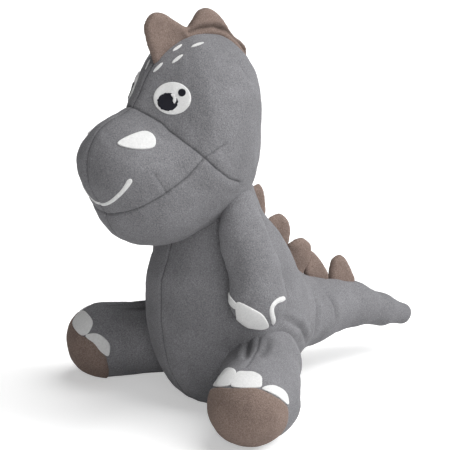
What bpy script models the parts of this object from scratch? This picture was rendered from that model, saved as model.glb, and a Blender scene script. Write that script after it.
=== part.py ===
"""Sitting plush dinosaur with fleece covers over stuffing.

Metres, +Z up. The toy faces -Y, its left side is +X, and it sits on the ground
at z = 0 with the middle of its body over the origin.
"""

import math

import bmesh
import bpy
import numpy as np
from mathutils import Matrix, Vector

for item in list(bpy.data.objects):
    bpy.data.objects.remove(item, do_unlink=True)

# ---- driving dimensions ---------------------------------------------------

FLEECE = 0.0016          # thickness of the fleece covers
GAP = 0.0003             # clearance between neighbouring pieces
STITCH = 0.0007          # height of the embroidery
FIN = 0.0058             # thickness of the stuffed spikes

NECK = (0.0, -0.0065, 0.1125)
NECK_RADIUS = 0.0465     # rounded top of the body that the head sits on
COLLAR_HEIGHT = 0.117    # the body is trimmed to the neck ball above this

SHOULDER = (0.0375, -0.0175, 0.1305)
SIDE_NORMAL = Vector((0.928, 0.0, 0.371)).normalized()
SIDE_DISTANCE = 0.0774   # flat side that each arm slides on, from the origin
RIGHT_ARM_BACK = math.radians(27.0)

HIP = (0.041, -0.002, 0.036)
HIP_RADIUS = 0.0275
HIP_PLANE = 0.0340       # each leg stands against the body at this x
FOOT = (0.080, -0.043, 0.0283)
LEG_LIFT = 15.0          # degrees that a leg can be raised

HEEL_SPINE = [(0.0580, -0.0120, 0.0290, 0.0235), (0.0775, -0.0285, 0.0262, 0.0238)]
SOLE_HEIGHT = 0.0167     # from the foot's middle to the upper edge of the sole
FOOT_ROLL = {"left": 0.0, "right": 38.0}  # degrees that each foot is turned inwards

TAIL_ROOT = (0.0, 0.042, 0.052)
TAIL_RADIUS = 0.0335

# spine points of the limbs: x, y, z, radius
ARM_SPINE = [
    (*SHOULDER, 0.0145),
    (0.0410, -0.0180, 0.122, 0.0165),
    (0.0475, -0.0150, 0.104, 0.0180),
    (0.0525, -0.0170, 0.088, 0.0212),
]
LEG_SPINE = [
    (*HIP, HIP_RADIUS),
    (0.060, -0.022, 0.032, 0.0225),
    (*FOOT, 0.0262),
]
TAIL_SPINE = [
    (*TAIL_ROOT, TAIL_RADIUS),
    (0.0, 0.070, 0.0475, 0.0240),
    (0.0, 0.092, 0.0465, 0.0185),
    (0.0, 0.112, 0.0440, 0.0155),
    (0.0, 0.140, 0.0340, 0.0110),
    (0.0, 0.160, 0.0270, 0.0085),
]

# ---- collections and materials ----------------------------------------------

toy = bpy.data.collections.new("plush_dinosaur")
cutters = bpy.data.collections.new("cutters")
bpy.context.scene.collection.children.link(toy)
bpy.context.scene.collection.children.link(cutters)


def material(name, colour, roughness):
    mat = bpy.data.materials.new(name)
    mat.use_nodes = True
    shader = mat.node_tree.nodes["Principled BSDF"]
    shader.inputs["Base Color"].default_value = (*colour, 1.0)
    shader.inputs["Roughness"].default_value = roughness
    shader.inputs["Metallic"].default_value = 0.0
    return mat


GREY = material("grey_fleece", (0.21, 0.21, 0.22), 0.95)
BROWN = material("brown_fleece", (0.26, 0.20, 0.17), 0.95)
WHITE = material("white_embroidery", (0.80, 0.80, 0.79), 0.60)
BLACK = material("black_embroidery", (0.015, 0.014, 0.022), 0.55)
FIBRE = material("polyester_stuffing", (0.85, 0.85, 0.83), 0.90)
PELLET = material("pellet_bag_cloth", (0.70, 0.68, 0.62), 0.80)

# ---- soft forms, as distances from rounded shapes ------------------------------


def ellipsoid(p, centre, radii, power=2.0):
    radii = np.array(radii)
    scaled = np.abs((p - np.array(centre)) / radii) ** power
    return (scaled.sum(-1) ** (1.0 / power) - 1.0) * radii.min()


def blended(fields, softness):
    fields = np.array(fields)
    low = fields.min(0)
    return low - softness * np.log(np.exp(-(fields - low) / softness).sum(0))


def tapered(p, start, end):
    a, b = np.array(start[:3]), np.array(end[:3])
    along = np.clip(((p - a) @ (b - a)) / ((b - a) @ (b - a)), 0.0, 1.0)
    radius = start[3] + (end[3] - start[3]) * along
    return np.linalg.norm(p - a - along[..., None] * (b - a), axis=-1) - radius


def limb_form(spine):
    pairs = list(zip(spine, spine[1:]))
    return lambda p: blended([tapered(p, a, b) for a, b in pairs], 0.002)


def leg_form(p):
    """The leg with a full heel behind its sole."""
    return blended([limb_form(LEG_SPINE)(p), limb_form(HEEL_SPINE)(p)], 0.002)


def head_form(p):
    return blended([
        ellipsoid(p, (0, -0.022, 0.212), (0.038, 0.040, 0.043), 2.1),    # crown
        ellipsoid(p, (0, -0.040, 0.204), (0.030, 0.031, 0.036), 2.0),    # brow
        ellipsoid(p, (0, -0.028, 0.176), (0.042, 0.043, 0.044), 2.2),    # cheeks
        ellipsoid(p, (0, -0.0765, 0.181), (0.032, 0.0345, 0.029), 2.25),  # muzzle
        ellipsoid(p, (0, -0.059, 0.152), (0.034, 0.037, 0.029), 2.2),    # jaw
    ], 0.006)


def body_form(p):
    """A pear: a wide belly, flatter underneath, and a narrower chest."""
    height = np.where(p[..., 2] > 0.066, 0.067, 0.072)
    level = np.stack([p[..., 0] / 0.052, p[..., 1] / 0.0535, (p[..., 2] - 0.066) / height], -1)
    belly = ((np.abs(level) ** 2.05).sum(-1) ** (1 / 2.05) - 1.0) * 0.052
    chest = ellipsoid(p, (0, -0.008, 0.104), (0.036, 0.043, 0.052), 2.1)
    return blended([belly, chest], 0.008)


def reach(form, starts, directions):
    """Where rays from inside the form meet its surface."""
    near = np.zeros(len(starts))
    far = np.full(len(starts), 0.2)
    for _ in range(40):
        middle = (near + far) / 2
        outside = form(starts + directions * middle[:, None]) > 0
        far = np.where(outside, middle, far)
        near = np.where(outside, near, middle)
    return starts + directions * near[:, None]


# ---- mesh helpers -------------------------------------------------------------------


def to_object(name, bm, mat=None, origin=(0, 0, 0), home=cutters):
    bmesh.ops.recalc_face_normals(bm, faces=bm.faces)
    if bm.calc_volume(signed=True) < 0:
        bmesh.ops.reverse_faces(bm, faces=bm.faces)
    bmesh.ops.translate(bm, vec=-Vector(origin), verts=bm.verts)
    mesh = bpy.data.meshes.new(name)
    bm.to_mesh(mesh)
    bm.free()
    mesh.shade_smooth()
    obj = bpy.data.objects.new(name, mesh)
    obj.location = origin
    home.objects.link(obj)
    if mat:
        mesh.materials.append(mat)
    else:
        obj.hide_render = True
        obj.display_type = "WIRE"
    return obj


def ball_cage(name, form, centre, cuts):
    """A subdivided cube whose points are pushed out to a soft form."""
    bm = bmesh.new()
    bmesh.ops.create_cube(bm, size=2.0)
    bmesh.ops.subdivide_edges(bm, edges=bm.edges, cuts=cuts, use_grid_fill=True)
    points = np.array([v.co for v in bm.verts])
    points = np.tan(points * math.pi / 4)                  # even spacing on the ball
    points /= np.linalg.norm(points, axis=1)[:, None]
    starts = np.repeat([centre], len(points), axis=0)
    for vert, place in zip(bm.verts, reach(form, starts, points)):
        vert.co = place
    bmesh.ops.triangulate(bm, faces=bm.faces)
    return to_object(name, bm)


def limb_cage(name, spine, form, around, along):
    """A sphere stretched along a bent spine and pushed out to the limb's form."""
    bm = bmesh.new()
    bmesh.ops.create_uvsphere(bm, u_segments=around, v_segments=along, radius=1.0)
    points = np.array([v.co for v in bm.verts])
    centres = np.array([p[:3] for p in spine])
    axis = centres[-1] - centres[0]
    axis /= np.linalg.norm(axis)
    side = np.cross(axis, (0.0, 0.0, 1.0) if abs(axis[2]) < 0.9 else (0.0, 1.0, 0.0))
    side /= np.linalg.norm(side)
    other = np.cross(axis, side)
    steps = np.linalg.norm(np.diff(centres, axis=0), axis=1)
    lengths = np.concatenate([[0.0], np.cumsum(steps)])
    share = (points[:, 2] + 1.0) / 2.0 * lengths[-1]
    starts = np.stack([np.interp(share, lengths, centres[:, i]) for i in range(3)], -1)
    directions = points[:, :1] * side + points[:, 1:2] * other + points[:, 2:] * axis
    for vert, place in zip(bm.verts, reach(form, starts, directions)):
        vert.co = place
    bmesh.ops.triangulate(bm, faces=bm.faces)
    return to_object(name, bm)


def offset(source, distance, name="level"):
    """The same surface moved along its normals; negative is inwards."""
    bm = bmesh.new()
    bm.from_mesh(source.data)
    bm.normal_update()
    places = [v.co + v.normal * distance for v in bm.verts]
    for vert, place in zip(bm.verts, places):
        vert.co = place
    return to_object(name, bm, origin=(0, 0, 0))


def copy_of(source, name):
    obj = bpy.data.objects.new(name, source.data.copy())
    obj.matrix_world = source.matrix_world
    cutters.objects.link(obj)
    obj.hide_render = True
    obj.display_type = "WIRE"
    return obj


def boolean(obj, tool, operation):
    """Apply one exact Boolean."""
    step = obj.modifiers.new(operation, "BOOLEAN")
    step.operation = operation
    step.solver = "EXACT"
    step.object = tool
    bpy.context.view_layer.update()
    graph = bpy.context.evaluated_depsgraph_get()
    result = bpy.data.meshes.new_from_object(obj.evaluated_get(graph))
    obj.modifiers.remove(step)
    obj.data = result
    return obj


def cut(obj, *tools):
    for tool in tools:
        boolean(obj, tool, "DIFFERENCE")
    return obj


def keep(obj, *tools):
    for tool in tools:
        boolean(obj, tool, "INTERSECT")
    return obj


def box(low, high, name="block"):
    bm = bmesh.new()
    bmesh.ops.create_cube(bm, size=1.0)
    size = Vector(high) - Vector(low)
    centre = (Vector(high) + Vector(low)) / 2
    bmesh.ops.scale(bm, vec=size, verts=bm.verts)
    bmesh.ops.translate(bm, vec=centre, verts=bm.verts)
    return to_object(name, bm)


def sphere(centre, radius, name="ball", subdivisions=3):
    bm = bmesh.new()
    bmesh.ops.create_icosphere(bm, subdivisions=subdivisions, radius=radius)
    bmesh.ops.translate(bm, vec=centre, verts=bm.verts)
    return to_object(name, bm)


def outline_solid(points, depth, frame, name="outline", smooth=True, bevel=0.0):
    """A closed 2D curve, filled and extruded to a solid, placed by a matrix."""
    curve = bpy.data.curves.new(name, "CURVE")
    curve.dimensions = "2D"
    curve.fill_mode = "BOTH"
    curve.extrude = depth / 2 - bevel
    curve.bevel_depth = bevel
    curve.offset = -bevel
    curve.bevel_resolution = 1
    curve.resolution_u = 2
    if smooth:
        spline = curve.splines.new("BEZIER")
        spline.bezier_points.add(len(points) - 1)
        for knot, (x, y) in zip(spline.bezier_points, points):
            knot.co = (x, y, 0)
            knot.handle_left_type = "AUTO"
            knot.handle_right_type = "AUTO"
    else:
        spline = curve.splines.new("POLY")
        spline.points.add(len(points) - 1)
        for knot, (x, y) in zip(spline.points, points):
            knot.co = (x, y, 0, 1)
    spline.use_cyclic_u = True
    shape = bpy.data.objects.new(name, curve)
    cutters.objects.link(shape)
    bpy.context.view_layer.update()
    graph = bpy.context.evaluated_depsgraph_get()
    mesh = bpy.data.meshes.new_from_object(shape.evaluated_get(graph))
    bpy.data.objects.remove(shape, do_unlink=True)
    bm = bmesh.new()
    bm.from_mesh(mesh)
    bmesh.ops.remove_doubles(bm, verts=bm.verts, dist=0.00001)
    bmesh.ops.transform(bm, matrix=frame, verts=bm.verts)
    return to_object(name, bm)


def facing(point, azimuth, elevation):
    """Local frame with z outwards; azimuth 0 looks from the front, 90 from the left."""
    a, e = math.radians(azimuth), math.radians(elevation)
    out = Vector((math.sin(a) * math.cos(e), -math.cos(a) * math.cos(e), math.sin(e)))
    right = Vector((math.cos(a), math.sin(a), 0.0))
    up = out.cross(right)
    frame = Matrix((right, up, out)).transposed().to_4x4()
    return Matrix.Translation(point) @ frame


SIDE_VIEW = Matrix(((0, 0, 1, 0), (1, 0, 0, 0), (0, 1, 0, 0), (0, 0, 0, 1)))
MIRROR = Matrix.Scale(-1, 4, Vector((1, 0, 0)))


def finish(obj, name, mat, pivot=(0, 0, 0), mirrored=False):
    """Name a solid as a node, with its origin on the joint it moves about."""
    if obj.name == name:
        obj.name = "worked"
    bm = bmesh.new()
    bm.from_mesh(obj.data)
    bmesh.ops.transform(bm, matrix=obj.matrix_world, verts=bm.verts)
    bmesh.ops.dissolve_degenerate(bm, dist=0.00002, edges=bm.edges)
    if mirrored:
        bmesh.ops.transform(bm, matrix=MIRROR, verts=bm.verts)
        bmesh.ops.reverse_faces(bm, faces=bm.faces)
        pivot = (-pivot[0], pivot[1], pivot[2])
    islands = find_islands(bm)
    for island in islands[1:]:
        bmesh.ops.delete(bm, geom=island, context="VERTS")
    done = to_object(name, bm, mat, pivot, toy)
    done.data.set_sharp_from_angle(angle=math.radians(40))
    return done


def find_islands(bm):
    """Connected bodies, the largest first."""
    left = set(bm.verts)
    islands = []
    while left:
        stack = [left.pop()]
        island = list(stack)
        while stack:
            for edge in stack.pop().link_edges:
                for vert in edge.verts:
                    if vert in left:
                        left.remove(vert)
                        stack.append(vert)
                        island.append(vert)
        islands.append(island)
    return sorted(islands, key=lambda group: -extent(group))


def extent(group):
    spans = [[v.co[i] for v in group] for i in range(3)]
    return sum(max(s) - min(s) for s in spans)


def level_band(host, low, high):
    """The layer between two heights above a surface."""
    return cut(offset(host, high, "layer"), offset(host, low, "layer_floor"))


def ellipse(width, height, count=10, turn=0.0):
    points = []
    for i in range(count):
        angle = 2 * math.pi * i / count
        x, y = width / 2 * math.cos(angle), height / 2 * math.sin(angle)
        c, s = math.cos(turn), math.sin(turn)
        points.append((x * c - y * s, x * s + y * c))
    return points


def badge(name, host, point, azimuth, elevation, outline, mat, pivot, low=GAP, both=True):
    """Embroidery that follows the cover inside an outline, on one or both sides."""
    shape = outline_solid(outline, 0.024, facing(point, azimuth, elevation))
    band = keep(level_band(host, low, low + STITCH), shape)
    if not both:
        return finish(band, name, mat, pivot)
    finish(band, name + "_left", mat, pivot)
    return finish(band, name + "_right", mat, pivot, mirrored=True)


# ---- forms of the bodies -------------------------------------------------------------

head = ball_cage("head_level", head_form, (0, -0.045, 0.180), 7)
body = ball_cage("body_level", body_form, (0, 0, 0.070), 6)
tail = limb_cage("tail_level", TAIL_SPINE, limb_form(TAIL_SPINE), 16, 12)
arm = limb_cage("arm_level", ARM_SPINE, limb_form(ARM_SPINE), 14, 11)
leg = limb_cage("leg_level", LEG_SPINE, leg_form, 16, 11)

ground = box((-0.2, -0.2, -0.1), (0.2, 0.2, FLEECE + GAP), "below_seat")
left_half = box((GAP / 2, -0.2, -0.1), (0.2, 0.2, 0.4), "left_half")
right_half = box((-0.2, -0.2, -0.1), (-GAP / 2, 0.2, 0.4), "right_half")

# ---- body: two side panels on a seat panel, stuffing over a pellet bag -----------------

above_collar = box((-0.1, -0.1, COLLAR_HEIGHT), (0.1, 0.1, 0.2), "above_collar")
cut(above_collar, sphere(NECK, NECK_RADIUS))
tail_socket = sphere(TAIL_ROOT, TAIL_RADIUS + 0.0014, "tail_socket")


def side_block(distance, name):
    """Everything on the arm's side of the flat side plane."""
    bm = bmesh.new()
    bmesh.ops.create_cube(bm, size=0.5)
    turn = Vector((0, 0, 1)).rotation_difference(SIDE_NORMAL).to_matrix().to_4x4()
    place = Matrix.Translation(SIDE_NORMAL * (distance + 0.25)) @ turn
    bmesh.ops.transform(bm, matrix=place, verts=bm.verts)
    return to_object(name, bm)


def mirrored_tool(tool, name):
    bm = bmesh.new()
    bm.from_mesh(tool.data)
    bmesh.ops.transform(bm, matrix=MIRROR, verts=bm.verts)
    bmesh.ops.reverse_faces(bm, faces=bm.faces)
    return to_object(name, bm)


def hip_recess(lift, clearance, wall):
    """Room beside the body for a leg lifted by some degrees, out from a flat wall."""
    bm = bmesh.new()
    bm.from_mesh(offset(leg, clearance).data)
    turn = Matrix.Rotation(math.radians(-lift), 4, "X")
    place = Matrix.Translation(HIP) @ turn @ Matrix.Translation(-Vector(HIP))
    bmesh.ops.transform(bm, matrix=place, verts=bm.verts)
    outside = box((wall, -0.2, -0.1), (0.3, 0.2, 0.3), "outside_hip")
    return keep(to_object("hip_recess", bm), outside)


side_left = side_block(SIDE_DISTANCE, "side_left")
body_tools = [above_collar, tail_socket, side_left, mirrored_tool(side_left, "side_right")]
HIP_ROOM = ((0.0, 0.0016, 0.0006), (LEG_LIFT / 2, 0.0007, 0.0003), (LEG_LIFT, 0.0007, 0.0))
for lift, clearance, inset in HIP_ROOM:
    recess = hip_recess(lift, clearance, HIP_PLANE - inset)
    body_tools += [recess, mirrored_tool(recess, "recess_right")]

body_shell = cut(copy_of(body, "body_shell"), offset(body, -FLEECE), ground, *body_tools)
finish(keep(copy_of(body_shell, "half"), left_half), "torso_left_panel", GREY)
finish(keep(copy_of(body_shell, "half"), right_half), "torso_right_panel", GREY)

seat = keep(copy_of(body, "seat"), box((-0.2, -0.2, 0), (0.2, 0.2, FLEECE), "seat_slab"))
finish(seat, "seat_panel", GREY)

body_inside = offset(body, -FLEECE - GAP, "body_inside")
cut(body_inside, ground, *body_tools)
bag_top = 0.0190
bag_box = box((-0.2, -0.2, -0.1), (0.2, 0.2, bag_top), "bag_box")
finish(keep(copy_of(body_inside, "bag"), bag_box), "pellet_bag", PELLET)
fibre_box = box((-0.2, -0.2, bag_top + GAP), (0.2, 0.2, 0.4), "fibre_box")
finish(keep(copy_of(body_inside, "fibre"), fibre_box), "torso_stuffing", FIBRE)

# ---- head: two face panels, two muzzle panels and a jaw gusset ---------------------------

neck_socket = sphere(NECK, NECK_RADIUS + 0.0012, "neck_socket")

# seam between face and muzzle: a plane that falls at 45 degrees towards the back
BRIDGE = [(-0.140, 0.276), (-0.049, 0.185)]
# seam of the jaw, from the chin up to the bridge seam, then down under the cheek
CHIN = [(-0.140, 0.150), (-0.105, 0.152), (-0.089, 0.157), (-0.074, 0.1645), (-0.060, 0.1730),
        (-0.049, 0.185)]
CHEEK = [(-0.0395, 0.1763), (-0.029, 0.1679), (-0.0145, 0.1621), (0.040, 0.156)]


def profile_block(points, grow, name):
    """A block across the whole head with its side outline moved up by grow."""
    raised = [(y, z + (grow if 0.12 < z < 0.28 else 0.0)) for y, z in points]
    return outline_solid(raised, 0.2, SIDE_VIEW, name, smooth=False)


JAW_OUTLINE = CHIN + CHEEK + [(0.040, 0.08), (-0.140, 0.08)]
MUZZLE_OUTLINE = CHIN + BRIDGE[:1]
MUZZLE_ROOM = BRIDGE + [(-0.049, 0.09), (-0.140, 0.09)]
jaw_block = profile_block(JAW_OUTLINE, 0.0, "jaw_block")
jaw_room = profile_block(JAW_OUTLINE, GAP * 1.4, "jaw_room")
muzzle_block = profile_block(MUZZLE_OUTLINE, 0.0, "muzzle_block")
muzzle_room = profile_block(MUZZLE_ROOM, GAP * 1.4, "muzzle_room")

head_shell = cut(copy_of(head, "head_shell"), offset(head, -FLEECE), neck_socket)
jaw = keep(copy_of(head_shell, "jaw"), jaw_block)
finish(jaw, "jaw_panel", GREY, NECK)
muzzle = cut(keep(copy_of(head_shell, "muzzle"), muzzle_block), jaw_room)
face = cut(copy_of(head_shell, "face"), jaw_room, muzzle_room)
for side, half in (("left", left_half), ("right", right_half)):
    finish(keep(copy_of(muzzle, "part"), half), "muzzle_" + side, GREY, NECK)
    finish(keep(copy_of(face, "part"), half), "head_face_" + side, GREY, NECK)

head_inside = cut(offset(head, -FLEECE - GAP, "head_inside"), neck_socket)
finish(head_inside, "head_stuffing", FIBRE, NECK)

# embroidered eyes, nostrils, smile and brow dashes
EYE = (0.0245, -0.0600, 0.2215)
PUPIL_SPOT = (0.0225, -0.0628, 0.2193)
DOT_SPOT = (0.0285, -0.0530, 0.2250)
EYE_LOOK = (42, 22)
badge("eye_white", head, EYE, *EYE_LOOK, ellipse(0.0257, 0.0222, 12), WHITE, NECK)

pupil = outline_solid(ellipse(0.0138, 0.0122, 10), 0.024, facing(PUPIL_SPOT, *EYE_LOOK))
gleam_spot = facing(PUPIL_SPOT, *EYE_LOOK) @ Matrix.Translation((0.0030, 0.0018, 0))
gleam = outline_solid(ellipse(0.0030, 0.0060, 8, 0.25), 0.03, gleam_spot)
pupil = cut(keep(level_band(head, 0.0013, 0.0019), pupil), gleam)
finish(pupil, "pupil_left", BLACK, NECK)
finish(pupil, "pupil_right", BLACK, NECK, mirrored=True)
badge("eye_dot", head, DOT_SPOT, *EYE_LOOK, ellipse(0.0054, 0.0054, 8), BLACK, NECK, low=0.0013)

teardrop = [(-0.0130, -0.0015), (-0.0060, 0.0035), (0.0040, 0.0062), (0.0115, 0.0040),
            (0.0128, -0.0010), (0.0085, -0.0055), (-0.0020, -0.0052), (-0.0110, -0.0040)]
badge("nostril", head, (0.0255, -0.0880, 0.1988), 50, 12, teardrop, WHITE, NECK)


def smile_outline(half_width, depth, thickness, steps=8):
    """A U-shaped stripe: a parabola moved half the thickness to each side."""
    upper, lower = [], []
    for i in range(-steps, steps + 1):
        x = half_width * i / steps
        z = depth * (x / half_width) ** 2
        slope = 2 * depth * x / half_width ** 2
        length = math.hypot(1, slope)
        nx, nz = -slope / length * thickness / 2, thickness / 2 / length
        upper.append((x + nx, z + nz))
        lower.append((x - nx, z - nz))
    return lower + upper[::-1]


smile = outline_solid(smile_outline(0.0275, 0.0215, 0.0021), 0.060,
                      facing((0, -0.100, 0.1545), 0, 0), smooth=False)
finish(keep(level_band(head, GAP, GAP + STITCH), smile), "mouth_line", WHITE, NECK)

dash = [(-0.0046, 0.0), (-0.0020, 0.0011), (0.0020, 0.0011), (0.0046, 0.0),
        (0.0020, -0.0011), (-0.0020, -0.0011)]
DASHES = [
    ((0.0060, -0.0590, 0.2385), 40, 50, 38),
    ((0.0138, -0.0494, 0.2443), 40, 55, 36),
    ((0.0145, -0.0336, 0.2515), 60, 60, 12),
]
for number, (spot, azimuth, elevation, tilt) in enumerate(DASHES, 1):
    turned = Matrix.Rotation(math.radians(tilt), 4, "Z")
    shape = outline_solid(dash, 0.016, facing(spot, azimuth, elevation) @ turned)
    band = keep(level_band(head, GAP, GAP + STITCH), shape)
    finish(band, f"brow_dash_{number}_left", WHITE, NECK)
    finish(band, f"brow_dash_{number}_right", WHITE, NECK, mirrored=True)

# ---- brown crest and spikes: stuffed fins standing on the covers --------------------------


def fin(name, outline, host, pivot):
    """A flat stuffed fin in the middle plane, with its foot following the cover."""
    solid = outline_solid([(y, z) for y, z in outline], FIN, SIDE_VIEW, name, bevel=0.0014)
    finish(cut(solid, *[offset(one, GAP, "foot") for one in host]), name, BROWN, pivot)


crest = [
    (-0.0560, 0.2380), (-0.0600, 0.2460), (-0.0637, 0.2560), (-0.0645, 0.2655), (-0.0590, 0.2722),
    (-0.0500, 0.2712), (-0.0400, 0.2650), (-0.0315, 0.2602), (-0.0270, 0.2640), (-0.0220, 0.2695),
    (-0.0155, 0.2707), (-0.0085, 0.2675), (-0.0020, 0.2615), (0.0040, 0.2535), (0.0085, 0.2485),
    (0.0140, 0.2445), (0.0178, 0.2390), (0.0160, 0.2320), (0.0060, 0.2400), (-0.0120, 0.2480),
    (-0.0300, 0.2480), (-0.0450, 0.2400),
]
fin("head_crest", crest, [head], NECK)
fin("nape_spike", [(0.0230, 0.1290), (0.0250, 0.1420), (0.0285, 0.1440), (0.0330, 0.1370),
                   (0.0345, 0.1290), (0.0335, 0.1230)],
    [body], (0, 0, 0))
fin("back_spike", [(0.0330, 0.1170), (0.0400, 0.1212), (0.0474, 0.1217), (0.0530, 0.1190), (0.0552, 0.1130),
                   (0.0535, 0.1050), (0.0495, 0.0970), (0.0420, 0.1000)],
    [body], (0, 0, 0))
fin("rump_spike", [(0.0550, 0.0830), (0.0570, 0.0930), (0.0605, 0.0995), (0.0650, 0.1015), (0.0710, 0.0970),
                   (0.0735, 0.0900), (0.0730, 0.0780), (0.0700, 0.0680), (0.0600, 0.0720)],
    [tail], TAIL_ROOT)
fin("tail_spike_1", [(0.0762, 0.0862), (0.0792, 0.0876), (0.0845, 0.0835), (0.0885, 0.0770), (0.0910, 0.0690),
                     (0.0880, 0.0600), (0.0790, 0.0620), (0.0757, 0.0740)],
    [tail], TAIL_ROOT)
fin("tail_spike_2", [(0.0925, 0.0660), (0.0938, 0.0760), (0.0965, 0.0815), (0.1010, 0.0822), (0.1075, 0.0765),
                     (0.1125, 0.0670), (0.1140, 0.0590), (0.1060, 0.0540), (0.0950, 0.0560)],
    [tail], TAIL_ROOT)

# ---- tail: a cover with its root opening inside the body ---------------------------------

opening = sphere((0.0, TAIL_ROOT[1] - TAIL_RADIUS, TAIL_ROOT[2]), 0.0123, "tail_opening")
tail_cover = cut(copy_of(tail, "tail_cover"), offset(tail, -FLEECE), opening)
finish(tail_cover, "tail_cover", GREY, TAIL_ROOT)
finish(offset(tail, -FLEECE - GAP), "tail_stuffing", FIBRE, TAIL_ROOT)

# ---- arms: covers open towards the body, three white claws on each paw ---------------------

CLAWS = [
    ("claw_1", (0.0505, -0.0366, 0.0890), 16, -6,
     [(-0.0050, 0.0040), (-0.0010, 0.0020), (0.0020, -0.0030), (0.0028, -0.0048),
      (-0.0008, -0.0035), (-0.0045, 0.0005)]),
    ("claw_2", (0.0660, -0.0320, 0.0810), 50, -14,
     [(-0.0084, 0.0078), (-0.0040, 0.0078), (0.0040, 0.0035), (0.0098, -0.0040),
      (0.0085, -0.0062), (0.0000, -0.0068), (-0.0072, -0.0062), (-0.0088, -0.0020)]),
    ("claw_3", (0.0735, -0.0130, 0.0850), 78, -6,
     [(0.0065, 0.0062), (0.0000, 0.0066), (-0.0042, 0.0040), (-0.0030, -0.0020), (-0.0040, -0.0080),
      (-0.0012, -0.0078), (-0.0004, -0.0010), (0.0010, 0.0030), (0.0060, 0.0040)]),
]


def make_arm(side, swing):
    """One arm, turned about its shoulder; the right one is mirrored afterwards."""
    back = Matrix.Translation(SHOULDER) @ Matrix.Rotation(swing, 4, SIDE_NORMAL)
    back = back @ Matrix.Translation(-Vector(SHOULDER))
    mirrored = side == "right"
    inner_side = side_block(SIDE_DISTANCE + GAP - 0.5, "inner_side")

    def turned(source, name):
        bm = bmesh.new()
        bm.from_mesh(source.data)
        bmesh.ops.transform(bm, matrix=back, verts=bm.verts)
        return to_object(name, bm)

    shape = turned(arm, "arm_turned")
    cover = cut(copy_of(shape, "cover"), offset(shape, -FLEECE), inner_side)
    finish(cover, "arm_cover_" + side, GREY, SHOULDER, mirrored)
    stuffing = cut(offset(shape, -FLEECE - GAP), inner_side)
    finish(stuffing, "arm_stuffing_" + side, FIBRE, SHOULDER, mirrored)
    for name, spot, azimuth, elevation, outline in CLAWS:
        block = outline_solid(outline, 0.020, back @ facing(spot, azimuth, elevation))
        claw = cut(keep(level_band(shape, GAP, GAP + STITCH), block), inner_side)
        finish(claw, f"{name}_{side}", WHITE, SHOULDER, mirrored)


make_arm("left", 0.0)
make_arm("right", RIGHT_ARM_BACK)

# ---- legs: a cover, a brown sole and three white toes on each foot ---------------------------

leg_axis = (Vector(FOOT) - Vector(HIP)).normalized()
foot_side = leg_axis.cross(Vector((0, 0, 1))).normalized()
foot_up = foot_side.cross(leg_axis)


def across_foot(turn):
    """Direction across the foot, turned inwards from the top by some degrees."""
    angle = math.radians(turn)
    return foot_up * math.cos(angle) + foot_side * math.sin(angle)


def half_space(point, out, name):
    """A block on the outer side of a plane through a point."""
    bm = bmesh.new()
    bmesh.ops.create_cube(bm, size=0.2)
    turn = Vector((0, 0, 1)).rotation_difference(out).to_matrix().to_4x4()
    place = Matrix.Translation(Vector(point) + out * 0.1) @ turn
    bmesh.ops.transform(bm, matrix=place, verts=bm.verts)
    return to_object(name, bm)


def sole_block(shift, roll, name):
    """The end of the foot, below the toes, moved along the leg by shift."""
    block = half_space(Vector(FOOT) + leg_axis * shift, leg_axis, name)
    top = across_foot(roll)
    return cut(block, half_space(Vector(FOOT) + top * (SOLE_HEIGHT - shift), top, "above_sole"))


def toe_frame(turn, lean):
    """Frame on the foot: turn inwards from the top, lean away from the sole's middle."""
    side, angle = across_foot(turn), math.radians(lean)
    out = leg_axis * math.cos(angle) + side * math.sin(angle)
    away = side * math.cos(angle) - leg_axis * math.sin(angle)
    frame = Matrix((away.cross(out), away, out)).transposed().to_4x4()
    return Matrix.Translation(Vector(FOOT) + out * 0.026) @ frame


inner_hip = box((-0.1, -0.2, -0.1), (HIP_PLANE + GAP, 0.2, 0.3), "inner_hip")
leg_shell = cut(copy_of(leg, "leg_shell"), offset(leg, -FLEECE), inner_hip)
leg_inside = cut(offset(leg, -FLEECE - GAP), inner_hip)

toe = [(-0.0075, -0.0050), (-0.0078, 0.0010), (-0.0040, 0.0062), (0.0020, 0.0068),
       (0.0072, 0.0020), (0.0072, -0.0050), (0.0, -0.0058)]
TOES = [("toe_1", 40.0, 84.0), ("toe_2", 0.0, 68.0), ("toe_3", -48.0, 72.0)]
for side, roll in FOOT_ROLL.items():
    mirrored = side == "right"
    leg_cover = cut(copy_of(leg_shell, "leg_cover"), sole_block(-GAP, roll, "sole_room"))
    sole = keep(copy_of(leg_shell, "sole"), sole_block(0.0, roll, "sole_block"))
    finish(leg_cover, "leg_cover_" + side, GREY, HIP, mirrored)
    finish(sole, "sole_" + side, BROWN, HIP, mirrored)
    finish(leg_inside, "leg_stuffing_" + side, FIBRE, HIP, mirrored)
    for name, turn, lean in TOES:
        shape = outline_solid(toe, 0.024, toe_frame(turn + roll, lean))
        band = keep(level_band(leg, GAP, GAP + STITCH), shape)
        finish(band, f"{name}_{side}", WHITE, HIP, mirrored)

# ---- working shapes are not part of the toy -----------------------------------------------------

for helper in list(cutters.objects):
    bpy.data.objects.remove(helper, do_unlink=True)
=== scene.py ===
# %% [markdown]
# # A sitting plush dinosaur
# The toy is sewn from short-pile grey fleece, stuffed with polyester, and decorated with
# brown fins and white satin embroidery. Each sewn part becomes one closed mesh here: a skin
# that is pumped up like a balloon, pulled in along its seams, and then embroidered.
# Everything is placed in metres in the same frame as the solid model.

# %% Load the solid frame
import math

import bmesh
import bpy
import numpy as np
from mathutils import Matrix, Vector, kdtree, noise
from mathutils.bvhtree import BVHTree
from mathutils.geometry import delaunay_2d_cdt


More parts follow.
